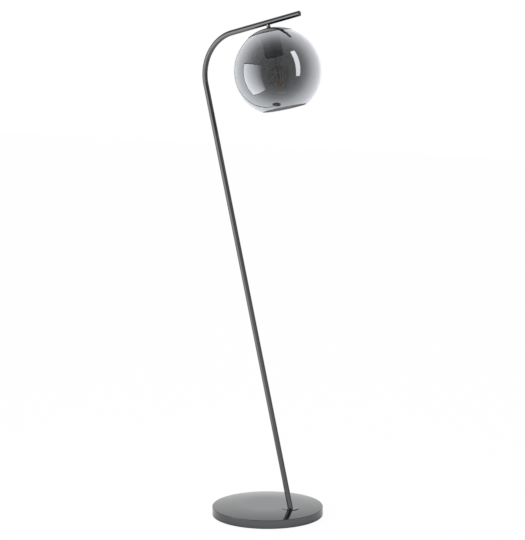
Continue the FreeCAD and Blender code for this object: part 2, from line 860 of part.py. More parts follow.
def bulb_supports():
    """Wires from the glass stem out to the filaments' tops and down to their lower ends."""
    root = Vector(0, 0, stem_tip())
    knot = Vector(0, 0, filament_ends(0)[1].z - 2.0)
    frame = wire_between(root, knot)
    frame = frame.fuse(Part.makeSphere(support_wire, knot))
    for index in range(filament_count):
        top, bottom = filament_ends(index)
        frame = frame.fuse(wire_between(root - Vector(0, 0, 0.3), top))
        frame = frame.fuse(wire_between(knot, bottom))
    frame = frame.cut(disc(5.0, stem_tip(), stem_tip() + 3))
    return at_lean(frame.cut(Part.makeCompound(filaments_plain())).removeSplitter(), globe_centre)


def inner_lead():
    route = lead_route()
    lead = round_bar(lead_diameter, route)
    length = sum(edge.Length for edge in route)
    section = math.pi * lead_diameter ** 2 / 4
    print("inner lead: length %.1f mm, bends %.1f, %.1f and %.1f mm" %
          (length, lead_foot_bend, bend_radius, lead_stem_bend))
    print("inner lead: volume over section times length %.4f" % (lead.Volume / section / length))
    return lead


parts = {
    "foot_pad": foot_pad,
    "bottom_plate": bottom_plate,
    "bottom_plate_screws": plate_screws,
    "base_weight": base_weight,
    "base_cover": base_cover,
    "cable_bushing": cable_bushing,
    "cord_grip": cord_grip,
    "cord_grip_screws": cord_grip_screws,
    "terminal_block": terminal_block,
    "terminal_block_tubes": block_tubes,
    "terminal_block_screws": block_screws,
    "terminal_block_fixing": block_fixing_screw,
    "post_rosette": post_rosette,
    "foot_plug": foot_plug,
    "foot_washer": foot_washer,
    "foot_nut": foot_nut,
    "post_tube": post_tube,
    "arm_end_plug": arm_end_plug,
    "stem_insert": stem_insert,
    "stem_nipple": stem_nipple,
    "stem_spacer": stem_spacer,
    "globe_cap": globe_cap,
    "cap_gasket": cap_gasket,
    "glass_globe": glass_globe,
    "cup_gasket": cup_gasket,
    "holder_cup": holder_cup,
    "clamp_washer": clamp_washer,
    "clamp_nut": clamp_nut,
    "holder_dome": holder_dome,
    "dome_nut": dome_nut,
    "holder_skirt": holder_skirt,
    "holder_insert": holder_insert,
    "holder_terminal_screws": insert_screws,
    "holder_thread_shell": thread_shell,
    "holder_centre_contact": centre_contact,
    "bulb_cap": bulb_cap,
    "bulb_insulator": bulb_insulator,
    "bulb_contact_button": contact_button,
    "bulb_glass": bulb_glass,
    "bulb_stem": bulb_stem,
    "bulb_filaments": bulb_filaments,
    "bulb_support_wires": bulb_supports,
    "inner_lead": inner_lead,
}

os.makedirs("parts", exist_ok=True)
for name, make in parts.items():
    shape = make()
    solids = shape.Solids
    if not solids or not shape.isValid():
        print("WARNING", name, "solids", len(solids), "valid", shape.isValid())
    result = solids[0] if len(solids) == 1 else Part.makeCompound(solids)
    result.exportStep("parts/" + name + ".step")
    print("%-26s solids %d  volume %10.1f mm3" % (name, len(solids), result.Volume))
print("globe centre %.2f %.2f %.2f" % tuple(globe_centre))
print("arm end %.2f %.2f %.2f" % tuple(arm_end))
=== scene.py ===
import json
import math

import bpy
import bmesh
import numpy as np
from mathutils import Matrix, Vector


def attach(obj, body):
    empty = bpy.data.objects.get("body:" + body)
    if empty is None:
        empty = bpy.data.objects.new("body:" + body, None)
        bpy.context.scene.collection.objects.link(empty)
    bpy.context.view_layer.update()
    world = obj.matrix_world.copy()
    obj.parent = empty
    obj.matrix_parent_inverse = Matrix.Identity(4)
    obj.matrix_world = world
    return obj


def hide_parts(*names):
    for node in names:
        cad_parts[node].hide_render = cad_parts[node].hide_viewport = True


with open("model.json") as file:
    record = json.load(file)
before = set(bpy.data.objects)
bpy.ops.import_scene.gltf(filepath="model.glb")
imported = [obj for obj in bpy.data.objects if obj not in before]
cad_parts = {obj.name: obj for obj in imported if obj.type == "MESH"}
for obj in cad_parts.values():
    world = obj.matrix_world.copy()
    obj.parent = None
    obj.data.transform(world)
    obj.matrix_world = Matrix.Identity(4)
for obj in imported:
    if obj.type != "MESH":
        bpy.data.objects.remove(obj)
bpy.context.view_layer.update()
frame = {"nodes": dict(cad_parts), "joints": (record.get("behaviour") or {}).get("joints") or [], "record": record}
print("frame loaded:", len(frame["nodes"]), "CAD nodes")

# Globe floor lamp. Sizes in the dictionaries are millimetres, and the scene is in metres.
mm = 0.001
meshing = {
    "mergeReach": 2e-7,         # metres within which points become one
    "sharpAngle": 32.0,         # degrees past which an edge stays crisp
    "straightCorner": 1e-4,     # radians by which a corner may differ from a straight line
}


# Directions and places that the frame gives: the bulb turns about the stem's line.

turnJoint = [joint for joint in frame["joints"] if joint["name"] == "bulb_turn"][0]
globeCentre = np.array(turnJoint["pos_m"], float) / mm
stemUp = -np.array(turnJoint["axis"], float)
stemUp /= np.linalg.norm(stemUp)
armAlong = np.array([stemUp[2], 0.0, -stemUp[0]])
sideways = np.array([0.0, 1.0, 0.0])


def leaning(points, origin):
    # Points of a frame that leans with the post, carried to the lamp's own frame.
    return origin + points[..., :1] * armAlong + points[..., 1:2] * sideways + points[..., 2:] * stemUp


# Surfaces

def arcPoints(radius, start, end, steps):
    # Arc about the origin: radius times the cosine and sine of angles from start to end, in degrees.
    angles = np.radians(np.linspace(start, end, steps + 1))
    return np.stack([radius * np.cos(angles), radius * np.sin(angles)], 1)


def roundedOutline(corners, radii, steps=6):
    # Closed outline whose corner i is an arc of radii[i], tangent to both of its sides. The arc's centre lies
    # radius / sin(half the corner's angle) in from the corner, and its points swing evenly about that centre.
    corners = np.array(corners, float)
    pieces = []
    for index, radius in enumerate(radii):
        corner = corners[index]
        before = corners[index - 1] - corner
        after = corners[(index + 1) % len(corners)] - corner
        before /= np.linalg.norm(before)
        after /= np.linalg.norm(after)
        half = 0.5 * math.acos(float(np.clip(before @ after, -1.0, 1.0)))
        if radius == 0 or abs(half - math.pi / 2) < meshing["straightCorner"]:
            pieces.append(corner[None])
            continue
        reach = radius / math.tan(half)
        centre = corner + (before + after) / np.linalg.norm(before + after) * radius / math.sin(half)
        first = corner + before * reach - centre
        last = corner + after * reach - centre
        share = np.linspace(0.0, 1.0, steps + 1)[:, None]
        swing = math.pi - 2 * half
        blend = (np.sin((1 - share) * swing) * first + np.sin(share * swing) * last) / math.sin(swing)
        pieces.append(centre + blend)
    return np.concatenate(pieces)


def revolved(outline, turns):
    # Grid from an outline of (radius, height): point (i, j) is outline j turned by i steps about Z.
    angles = np.linspace(0.0, 2 * math.pi, turns, endpoint=False)[:, None]
    radius, height = outline[None, :, 0], outline[None, :, 1]
    x, y = radius * np.cos(angles), radius * np.sin(angles)
    return np.stack([x, y, np.broadcast_to(height, x.shape)], 2)


def swept(path, radii, turns):
    # Grid of circles about a path's points, square to it: ring i has radii[i]. A point is the path's point
    # plus radius times (cosine of its angle times across, plus sine times other).
    path = np.array(path, float)
    radii = np.broadcast_to(np.array(radii, float), (len(path),))
    heading = np.gradient(path, axis=0)
    heading /= np.linalg.norm(heading, axis=1)[:, None]
    spread = path.max(0) - path.min(0)
    steady = np.eye(3)[int(np.argmin(spread))]
    across = np.cross(heading, steady)
    across /= np.linalg.norm(across, axis=1)[:, None]
    other = np.cross(heading, across)
    angles = np.linspace(0.0, 2 * math.pi, turns, endpoint=False)
    ring = np.cos(angles)[:, None, None] * across + np.sin(angles)[:, None, None] * other
    return path + ring * radii[:, None]


def gridMesh(name, grids):
    # Mesh from (grid, closed along the first way, closed along the second way) entries.
    # Poles, where a row is one point, close when doubles merge.
    mesh = bpy.data.meshes.new(name)
    points = []
    faces = []
    offset = 0
    for grid, closedFirst, closedSecond in grids:
        rows, columns = grid.shape[:2]
        index = np.arange(rows * columns).reshape(rows, columns) + offset
        near = index if closedFirst else index[:-1]
        far = np.roll(index, -1, 0) if closedFirst else index[1:]
        corners = [near, far, np.roll(far, -1, 1), np.roll(near, -1, 1)]
        if not closedSecond:
            corners = [corner[:, :-1] for corner in corners]
        faces.append(np.stack(corners, -1).reshape(-1, 4))
        points.append(grid.reshape(-1, 3))
        offset += rows * columns
    vertices = np.concatenate(points) * mm
    quads = np.concatenate(faces)
    mesh.from_pydata(vertices.tolist(), [], quads.tolist())
    work = bmesh.new()
    work.from_mesh(mesh)
    bmesh.ops.remove_doubles(work, verts=work.verts, dist=meshing["mergeReach"])
    bmesh.ops.recalc_face_normals(work, faces=work.faces)
    work.to_mesh(mesh)
    work.free()
    mesh.polygons.foreach_set("use_smooth", np.ones(len(mesh.polygons), bool))
    mesh.set_sharp_from_angle(angle=math.radians(meshing["sharpAngle"]))
    return mesh


def addPiece(name, grids, material, body, nodes):
    # One finished piece: its mesh in place, its finish, and the CAD nodes that it stands for.
    piece = bpy.data.objects.new(name, gridMesh(name, grids))
    bpy.context.scene.collection.objects.link(piece)
    piece.data.materials.append(material)
    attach(piece, body)
    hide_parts(*nodes)
    return piece


def innerSide(piece, material, reach):
    # Faces whose middles lie nearer to the globe's centre than reach take a second material.
    piece.data.materials.append(material)
    middles = np.empty(len(piece.data.polygons) * 3)
    piece.data.polygons.foreach_get("center", middles)
    away = np.linalg.norm(middles.reshape(-1, 3) / mm - globeCentre, axis=1)
    piece.data.polygons.foreach_set("material_index", (away < reach).astype(np.int32))


def naturalCurve(knots, stepsPerSpan, startSlope, endSlope):
    # Cubic spline through the knots, by chord length, with its direction given at both ends. The slopes solve
    # for equal bending on both sides of each knot, and each span is the cubic between its knots and slopes.
    knots = np.array(knots, float)
    gaps = np.linalg.norm(np.diff(knots, axis=0), axis=1)
    count = len(knots)
    system = np.zeros((count, count))
    right = np.zeros((count, 2))
    system[0, 0] = system[-1, -1] = 1.0
    right[0], right[-1] = startSlope, endSlope
    chords = np.diff(knots, axis=0) / gaps[:, None]
    inner = np.arange(1, count - 1)
    system[inner, inner - 1] = gaps[1:]
    system[inner, inner] = 2 * (gaps[:-1] + gaps[1:])
    system[inner, inner + 1] = gaps[:-1]
    right[1:-1] = 3 * (gaps[1:, None] * chords[:-1] + gaps[:-1, None] * chords[1:])
    slopes = np.linalg.solve(system, right)
    share = (np.arange(stepsPerSpan) / stepsPerSpan)[None, :, None]
    start, end = knots[:-1, None], knots[1:, None]
    lead, trail = slopes[:-1, None] * gaps[:, None, None], slopes[1:, None] * gaps[:, None, None]
    cube, square = share ** 3, share ** 2
    spans = ((2 * cube - 3 * square + 1) * start + (cube - 2 * square + share) * lead
             + (3 * square - 2 * cube) * end + (cube - square) * trail)
    return np.concatenate([spans.reshape(-1, 2), knots[-1:]])


# Materials

def colour(code):
    # Hex in sRGB to the linear values that shaders take.
    channels = [int(code[start:start + 2], 16) / 255 for start in (1, 3, 5)]
    linear = [value / 12.92 if value <= 0.04045 else ((value + 0.055) / 1.055) ** 2.4 for value in channels]
    return (*linear, 1.0)


def addNode(tree, kind, settings=None, **inputs):
    # Adds a node, sets its properties, and sets or links its inputs by name.
    node = tree.nodes.new(kind)
    for name, value in (settings or {}).items():
        setattr(node, name, value)
    for name, value in inputs.items():
        socket = node.inputs[int(name[1:])] if name[1:].isdigit() else node.inputs[name.replace("_", " ")]
        if isinstance(value, bpy.types.NodeSocket):
            tree.links.new(value, socket)
        else:
            socket.default_value = value
    return node


def perMetre(size):
    # Texture scale on Object coordinates for a pattern of this size in millimetres.
    return 1000.0 / size


def newMaterial(name, **inputs):
    # A material with one Principled shader: gives the material, its tree, shader and Object coordinates.
    material = bpy.data.materials.new(name)
    material.use_nodes = True
    tree = material.node_tree
    tree.nodes.clear()
    shader = addNode(tree, "ShaderNodeBsdfPrincipled", **inputs)
    addNode(tree, "ShaderNodeOutputMaterial", Surface=shader.outputs[0])
    coordinates = addNode(tree, "ShaderNodeTexCoord").outputs["Object"]
    return material, tree, shader, coordinates


def noise(tree, coordinates, size, detail=3.0):
    # Cloudy value from 0 to 1, mostly 0.3 to 0.7, with lumps of this size in millimetres.
    scale = perMetre(size)
    return addNode(tree, "ShaderNodeTexNoise", Vector=coordinates, Scale=scale, Detail=detail).outputs["Fac"]


def ranged(tree, value, low, high, fromLow=0.3, fromHigh=0.7):
    # Carries a value from one range to another, a noise value if no other is given.
    return addNode(tree, "ShaderNodeMapRange", _0=value, _1=fromLow, _2=fromHigh, _3=low, _4=high).outputs[0]


def tinted(tree, value, first, second):
    # Colour between two, by a value from 0 to 1.
    mix = addNode(tree, "ShaderNodeMix", {"data_type": "RGBA"}, _0=value, _6=colour(first), _7=colour(second))
    return mix.outputs[2]


def relief(tree, shader, height, depth):
    # Bump of a depth in millimetres.
    bump = addNode(tree, "ShaderNodeBump", Height=height, Distance=depth * mm, Strength=1.0)
    tree.links.new(bump.outputs[0], shader.inputs["Normal"])


def turnedAway(tree, power, least):
    # Opacity of a thin wall: the least value face on, rising to 1 where the surface turns away.
    facing = addNode(tree, "ShaderNodeLayerWeight", Blend=0.5).outputs["Facing"]
    away = addNode(tree, "ShaderNodeMath", {"operation": "POWER"}, _0=facing, _1=power).outputs[0]
    return ranged(tree, away, least, 1.0, 0.0, 1.0)


def makeBlackNickel():
    # Polished steel, electroplated with black nickel: a dark mirror with a faint haze.
    material, tree, shader, place = newMaterial("black nickel plate", Metallic=1.0)
    haze = noise(tree, place, 35.0)
    tree.links.new(ranged(tree, haze, 0.07, 0.11), shader.inputs["Roughness"])
    tree.links.new(tinted(tree, haze, "#5a5b5d", "#616264"), shader.inputs["Base Color"])
    relief(tree, shader, noise(tree, place, 9.0, 1.0), 0.002)
    return material


def makeSmokeMirror():
    # Blown glass, half mirrored in a vacuum with a thin metal film: the film returns much of the light, more
    # where it turns away, and the rest goes straight through the thin wall. Seen from inside, through the
    # smoke tint, the film hardly mirrors.
    material, tree, shader, place = newMaterial("half mirrored smoke glass", Metallic=1.0, Roughness=0.0)
    tree.links.new(turnedAway(tree, 4.0, 0.43), shader.inputs["Alpha"])
    film = tinted(tree, noise(tree, place, 60.0), "#f0f4fb", "#f6f9fe")
    inside = addNode(tree, "ShaderNodeNewGeometry").outputs["Backfacing"]
    film = addNode(tree, "ShaderNodeMix", {"data_type": "RGBA"}, _0=inside, _6=film, _7=colour("#1c1d1f"))
    tree.links.new(film.outputs[2], shader.inputs["Base Color"])
    relief(tree, shader, noise(tree, place, 70.0, 1.0), 0.02)
    return material


def makeInnerGlass():
    # Smoke glass, tinted in the melt: the wall's inner side, which dims what is seen through it.
    material, tree, shader, place = newMaterial("smoke glass inner side", Metallic=1.0, Roughness=0.0)
    tree.links.new(turnedAway(tree, 2.0, 0.62), shader.inputs["Alpha"])
    tree.links.new(tinted(tree, noise(tree, place, 60.0), "#131416", "#1b1c1e"), shader.inputs["Base Color"])
    return material


def makeBulbGlass():
    # Soda-lime bulb glass, machine blown: clear, and shinier where it turns away.
    material, tree, shader, place = newMaterial("clear bulb glass", Metallic=1.0, Roughness=0.0)
    tree.links.new(turnedAway(tree, 2.0, 0.06), shader.inputs["Alpha"])
    tree.links.new(tinted(tree, noise(tree, place, 22.0), "#eef1f2", "#f7f9fa"), shader.inputs["Base Color"])
    return material


def makeBulbInner():
    # The inner side of the bulb's thin wall: almost nothing of it shows.
    material, tree, shader, place = newMaterial(
        "bulb glass inner side", Metallic=1.0, Roughness=0.0, Alpha=0.012)
    tree.links.new(tinted(tree, noise(tree, place, 22.0), "#eef1f2", "#f7f9fa"), shader.inputs["Base Color"])
    return material


def makeStemGlass():
    # Lead glass, melted and pinched: solid and clear, with slight waves.
    material, tree, shader, place = newMaterial(
        "pressed stem glass", Base_Color=colour("#f4f6f6"), Roughness=0.0, IOR=1.5, Transmission_Weight=1.0)
    relief(tree, shader, noise(tree, place, 6.0, 1.0), 0.02)
    return material


def makeBlackGlass():
    # Vitrite, the black glass cast into a lamp cap: glossy with small flow marks.
    material, tree, shader, place = newMaterial("black cap glass", Roughness=0.12, IOR=1.5)
    marks = noise(tree, place, 2.0)
    tree.links.new(tinted(tree, marks, "#0c0b10", "#1a191f"), shader.inputs["Base Color"])
    relief(tree, shader, marks, 0.05)
    return material


def makePhosphor():
    # Yellow phosphor in silicone over a row of chips: soft, slightly lumpy, a little brighter at each chip.
    material, tree, shader, place = newMaterial("filament phosphor", Roughness=0.42, IOR=1.41)
    chips = noise(tree, place, 1.6, 1.0)
    tree.links.new(tinted(tree, chips, "#e08a12", "#ffc23a"), shader.inputs["Base Color"])
    relief(tree, shader, chips, 0.06)
    return material


def makeMetal(name, dark, light, roughness, grain, depth):
    # Bare or plated metal with its grain in millimetres.
    material, tree, shader, place = newMaterial(name, Metallic=1.0)
    pattern = noise(tree, place, grain, 4.0)
    tree.links.new(tinted(tree, pattern, dark, light), shader.inputs["Base Color"])
    tree.links.new(ranged(tree, pattern, roughness - 0.05, roughness + 0.08), shader.inputs["Roughness"])
    relief(tree, shader, pattern, depth)
    return material


def makeMatt(name, dark, light, roughness, grain, depth, ior=1.5):
    # Moulded, fired or pressed stuff with its grain in millimetres.
    material, tree, shader, place = newMaterial(name, IOR=ior)
    pattern = noise(tree, place, grain, 4.0)
    tree.links.new(tinted(tree, pattern, dark, light), shader.inputs["Base Color"])
    tree.links.new(ranged(tree, pattern, roughness - 0.08, roughness + 0.08), shader.inputs["Roughness"])
    relief(tree, shader, pattern, depth)
    return material


finishes = {
    "black_nickel": makeBlackNickel(),
    "smoke_mirror_glass": makeSmokeMirror(),
    "clear_glass": makeBulbGlass(),
    "black_glass": makeBlackGlass(),
    "amber_phosphor": makePhosphor(),
    "support_wire": makeMetal("bright lamp wire", "#a8a49c", "#c9c5bd", 0.22, 0.8, 0.01),
    "nickel_cap": makeMetal("nickel plated cap", "#b9b5ab", "#cfccc3", 0.18, 3.0, 0.01),
    "solder": makeMetal("tinned contact", "#8e8f90", "#b5b6b6", 0.32, 1.5, 0.05),
    "brass": makeMetal("turned brass", "#b98e45", "#d6b062", 0.24, 1.2, 0.02),
    "zinc_plate": makeMetal("zinc plated steel", "#9a9da0", "#b9bcbf", 0.34, 2.5, 0.02),
    "cast_iron": makeMetal("primed cast iron", "#2b2b2d", "#3c3c3e", 0.6, 1.6, 0.12),
    "porcelain": makeMatt("unglazed porcelain", "#dcd6c8", "#ece8dd", 0.55, 0.9, 0.03),
    "dark_plastic": makeMatt("moulded black plastic", "#0d0d0e", "#18181a", 0.4, 0.7, 0.02),
    "dark_plastic_lead": makeMatt("lead sheath", "#101011", "#1b1b1c", 0.5, 1.1, 0.02),
    "white_plastic": makeMatt("moulded white plastic", "#d8d8d3", "#e6e6e1", 0.42, 0.8, 0.02),
    "black_rubber": makeMatt("moulded rubber", "#0e0e0e", "#1a1a1a", 0.68, 0.9, 0.04),
    "felt": makeMatt("pressed felt", "#161617", "#2a2a2b", 0.92, 1.3, 0.35),
}
innerGlass = makeInnerGlass()
bulbInner = makeBulbInner()
stemGlass = makeStemGlass()
# Lighter copy of the black nickel for the stem spacer: its paler grey is painted light, standing for how brightly
# the small stem is lit
stemNickelPaintedLighter = makeMetal("turned black nickel painted lighter", "#6f7072", "#7c7d7f", 0.16, 1.5, 0.003)

for entry in frame["record"]["subparts"]:
    node = frame["nodes"][entry["node"]]
    node.data.materials.clear()
    node.data.materials.append(finishes[entry["material_slot"]])
print("finishes made:", len(finishes))


# Tube: one bent length of steel tube

tube = {
    "diameter": 16.0,
    "wall": 1.5,
    "postLength": 1276.0,
    "bendRadius": 127.0,
    "armLength": 239.5,
    "stemPosition": 129.0,
    "insertion": 6.3,
    "globeDrop": 143.0,
    "bendSteps": 60,
    "straightSteps": 40,
    "sides": 64,
}
stemTop = globeCentre + stemUp * tube["globeDrop"]
bendEnd = stemTop - armAlong * tube["stemPosition"]
bendCentre = bendEnd - stemUp * tube["bendRadius"]
bendStart = bendCentre - armAlong * tube["bendRadius"]
postFoot = bendStart - stemUp * tube["postLength"]
armEnd = bendEnd + armAlong * tube["armLength"]


def tubePath():
    # Centre line: straight post, a quarter circle of radius times (sine up, minus cosine along), straight arm.
    share = np.linspace(0.0, 1.0, tube["straightSteps"])[:, None]
    start = postFoot - stemUp * tube["insertion"]
    angles = np.linspace(0.0, math.pi / 2, tube["bendSteps"])[1:-1, None]
    bend = bendCentre + tube["bendRadius"] * (np.sin(angles) * stemUp - np.cos(angles) * armAlong)
    return np.concatenate([start + share * (bendStart - start), bend, bendEnd + share * (armEnd - bendEnd)])


def buildTube():
    # Circles of the outer and the bore radius along one path, joined into a closed wall.
    path = tubePath()
    outer = swept(path, tube["diameter"] / 2, tube["sides"])
    inner = swept(path, tube["diameter"] / 2 - tube["wall"], tube["sides"])
    wall = np.concatenate([outer, inner[:, ::-1]], 1)   # out along the outer side, back along the bore
    addPiece("postTube", [(wall, True, True)], finishes["black_nickel"], "lamp", ["post_tube"])


buildTube()


# Plug in the arm's free end

endPlug = {"rim": 1.5, "rimRound": 0.6, "stepRound": 0.1, "tipRound": 0.4, "depth": 10.0, "gap": 0.1}


def buildEndPlug():
    # Turned plug: a rim as wide as the tube and a spigot in its bore, revolved about the arm's line.
    outer = tube["diameter"] / 2
    spigot = outer - tube["wall"] - endPlug["gap"]
    rim, depth = endPlug["rim"], endPlug["depth"]
    corners = [(0, rim), (outer, rim), (outer, 0), (spigot, 0), (spigot, -depth), (0, -depth)]
    radii = [0, endPlug["rimRound"], endPlug["stepRound"], 0, endPlug["tipRound"], 0]
    grid = revolved(roundedOutline(corners, radii), tube["sides"])
    turned = armEnd + grid[..., 2:] * armAlong + grid[..., :1] * stemUp + grid[..., 1:2] * sideways
    addPiece("armEndPlug", [(turned, True, True)], finishes["black_nickel"], "lamp", ["arm_end_plug"])


buildEndPlug()


# Base cover and rosette

base = {
    "diameter": 330.0,
    "rimHeight": 26.0,
    "crownRise": 5.0,
    "levelRadius": 65.0,
    "sheet": 2.0,
    "bevel": 1.0,
    "bevelSoft": 0.5,
    "lowerRound": 0.4,
    "innerRound": 0.3,
    "floorGap": 1.0,
    "edgeReach": 1.0,           # the crown's last stretch, left to the rounded edge
    "turns": 256,
    "crownSteps": 60,
    "rosetteDiameter": 50.0,
    "rosetteBevel": 0.4,
    "rosetteTuck": 0.3,         # how far the collar reaches into the tube's wall
    "rosetteTurns": 128,
}
crownRim = base["diameter"] / 2 - base["bevel"]
crownReach = crownRim - base["levelRadius"]
crownCurve = (crownReach ** 2 + base["crownRise"] ** 2) / (2 * base["crownRise"])


def crownHeight(radius, drop=0.0):
    # Height of the base's top at a radius: level in the middle, then one arc down to the rim.
    beyond = np.maximum(np.asarray(radius) - base["levelRadius"], 0.0)
    return base["rimHeight"] + base["crownRise"] - drop - crownCurve + np.sqrt(crownCurve ** 2 - beyond ** 2)


def buildBaseCover():
    # Spun cover: crown, bevelled rim, skirt and the sheet's inner side as one outline, revolved.
    outer, bevel, sheet = base["diameter"] / 2, base["bevel"], base["sheet"]
    inner = outer - sheet
    crownEnd = crownRim - base["edgeReach"]
    radii = np.linspace(0.0, crownEnd, base["crownSteps"])
    top = np.stack([radii, crownHeight(radii)], 1)
    under = np.stack([radii[::-1], crownHeight(radii[::-1], sheet)], 1)
    rim = float(crownHeight(crownRim))
    corners = [(crownEnd, float(crownHeight(crownEnd))), (crownRim, rim), (outer, rim - bevel),
               (outer, base["floorGap"]), (inner, base["floorGap"]), (inner, float(crownHeight(inner, sheet)))]
    soft = [0, base["bevelSoft"], base["bevelSoft"], base["lowerRound"], base["innerRound"], base["innerRound"]]
    outline = np.concatenate([top[:-1], roundedOutline(corners, soft, 4), under[1:]])
    addPiece("baseCover", [(revolved(outline, base["turns"]), True, False)], finishes["black_nickel"],
             "lamp", ["base_cover"])


def buildRosette():
    # Collar about the tube: level top, and an underside that lies on the crowned cover all round.
    angles = np.linspace(0.0, 2 * math.pi, base["rosetteTurns"], endpoint=False)[:, None]
    top = postFoot[2]
    outer, inner = base["rosetteDiameter"] / 2, tube["diameter"] / 2 - base["rosetteTuck"]
    bevel = base["rosetteBevel"]
    radii = np.array([inner, outer - bevel, outer, outer, inner])
    lowered = np.array([0.0, 0.0, bevel, np.nan, np.nan])
    x = postFoot[0] + radii * np.cos(angles)
    y = radii * np.sin(angles)
    underside = crownHeight(np.hypot(x, y))
    z = np.where(np.isnan(lowered), underside, top - lowered)
    z = np.maximum(z, underside)
    addPiece("postRosette", [(np.stack([x, y, z], 2), True, True)], finishes["black_nickel"], "lamp",
             ["post_rosette"])


buildBaseCover()
buildRosette()
print("tube and base made")


# Stem, cap and glass globe, measured along the stem from the globe's centre

globe = {
    "diameter": 253.0,
    "wall": 3.0,
    "topHole": 40.0,
    "mouth": 127.0,
    "lipRound": 1.2,
    "lipSteps": 8,
    "turns": 192,
    "steps": 110,
    "innerShare": 0.4,          # share of the wall, from inside, whose faces count as its inner side
    "stemHole": 8.2,
}
globeCap = {
    "diameter": 128.0,
    "sheet": 0.8,
    "gap": 0.3,
    "edgeBulge": (0.3, -0.2),
    "edgeSteps": 6,
    "turns": 128,
    "steps": 40,
}
spacer = {
    "diameter": 11.0,
    "footDiameter": 15.0,
    "footEdge": 0.6,
    "flare": 3.0,
    "radii": [0, 0.1, 0.3, 1.2, 0, 0],
    "tuck": 0.3,                # how far the neck reaches into the arm's wall
    "turns": 48,
}


def sphereOutline(radius, topReach, lowReach, steps):
    # Ball's outline from one distance off its axis, above its centre, to another below it.
    topAngle, lowAngle = (math.degrees(math.acos(reach / radius)) for reach in (topReach, lowReach))
    return arcPoints(radius, topAngle, -lowAngle, steps)


def buildGlobe():
    # Outer ball from the top hole round to the mouth, a round lip, the inner ball back and a round lip.
    outer, inner = globe["diameter"] / 2, globe["diameter"] / 2 - globe["wall"]
    soft = globe["lipRound"]
    hole, mouth = globe["topHole"] / 2 + soft, globe["mouth"] / 2 + soft
    outside = sphereOutline(outer, hole, mouth, globe["steps"])
    inside = sphereOutline(inner, hole, mouth, globe["steps"])[::-1]
    half = np.linspace(0.0, math.pi, globe["lipSteps"] + 1)[1:-1, None]

    def lip(start, end):
        # Half an ellipse from start to end, bulging towards the axis by the lip's radius.
        return (start + end) / 2 + (start - end) / 2 * np.cos(half) + np.array([-soft, 0.0]) * np.sin(half)

    outline = np.concatenate([outside, lip(outside[-1], inside[0]), inside, lip(inside[-1], outside[0])])
    grid = leaning(revolved(outline, globe["turns"]), globeCentre)
    piece = addPiece("glassGlobe", [(grid, True, True)], finishes["smoke_mirror_glass"], "lamp",
                     ["glass_globe"])
    innerSide(piece, innerGlass, inner + globe["innerShare"] * globe["wall"])


def buildCap():
    # Drawn sheet cap that follows the ball: arcs of its outer and inner radius, joined by a rounded edge.
    inner = globe["diameter"] / 2 + globeCap["gap"]
    outer = inner + globeCap["sheet"]
    rim, hole = globeCap["diameter"] / 2, globe["stemHole"] / 2
    top = arcPoints(outer, math.degrees(math.acos(hole / outer)), math.degrees(math.acos(rim / outer)),
                    globeCap["steps"])
    under = arcPoints(inner, math.degrees(math.acos(rim / inner)), math.degrees(math.acos(hole / inner)),
                      globeCap["steps"])
    middle = (top[-1] + under[0]) / 2
    half = np.linspace(0.0, math.pi, globeCap["edgeSteps"] + 1)[1:-1, None]
    edge = middle + (top[-1] - middle) * np.cos(half) + np.array(globeCap["edgeBulge"]) * np.sin(half)
    grid = leaning(revolved(np.concatenate([top, edge, under]), globeCap["turns"]), globeCentre)
    addPiece("globeCap", [(grid, True, True)], finishes["black_nickel"], "lamp", ["globe_cap"])


def buildSpacer():
    # Turned sleeve, revolved: a plain neck up into the arm, and a foot that flares out onto the cap.
    outer, inner, foot = spacer["diameter"] / 2, globe["stemHole"] / 2, spacer["footDiameter"] / 2
    ball = globe["diameter"] / 2 + globeCap["gap"] + globeCap["sheet"]
    seat = math.sqrt(ball ** 2 - foot ** 2)
    high = tube["globeDrop"] - math.sqrt((tube["diameter"] / 2) ** 2 - outer ** 2) + spacer["tuck"]
    corners = [(inner, seat), (foot, seat), (foot, seat + spacer["footEdge"]), (outer, seat + spacer["flare"]),
               (outer, high), (inner, high)]
    grid = revolved(roundedOutline(corners, spacer["radii"]), spacer["turns"])
    addPiece("stemSpacer", [(leaning(grid, globeCentre), True, True)], stemNickelPaintedLighter, "lamp", ["stem_spacer"])


buildGlobe()
buildCap()
buildSpacer()


# Cup that hides the lampholder

cup = {
    "diameter": 55.0,
    "sheet": 1.2,
    "topSheet": 1.5,
    "edge": 43.0,
    "edgeRound": 3.0,
    "topRound": 0.8,
    "lipRound": 0.4,
    "innerRound": 0.5,
    "gasket": 0.6,
    "turns": 96,
}


def buildCup():
    # Drawn cup, revolved: open below, with its lower edge rolled in.
    outer, inner = cup["diameter"] / 2, cup["diameter"] / 2 - cup["sheet"]
    top = math.sqrt((globe["diameter"] / 2 - globe["wall"]) ** 2 - outer ** 2) - cup["gasket"]
    low, roll = cup["edge"], cup["edgeRound"]
    hole = globe["stemHole"] / 2
    corners = [(hole, top), (outer, top), (outer, low), (outer - roll, low), (outer - roll, low + cup["sheet"]),
               (inner, low + roll), (inner, top - cup["topSheet"]), (hole, top - cup["topSheet"])]
    rollRound = roll - 0.05     # a hair under the roll, so that its arc leaves a bit of flat
    radii = [0, cup["topRound"], rollRound, 0, cup["lipRound"], cup["topRound"], cup["innerRound"], 0]
    grid = revolved(roundedOutline(corners, radii, 8), cup["turns"])
    addPiece("holderCup", [(leaning(grid, globeCentre), True, True)], finishes["black_nickel"], "lamp",
             ["holder_cup"])


buildCup()
print("globe, cap and cup made")


# Filament bulb

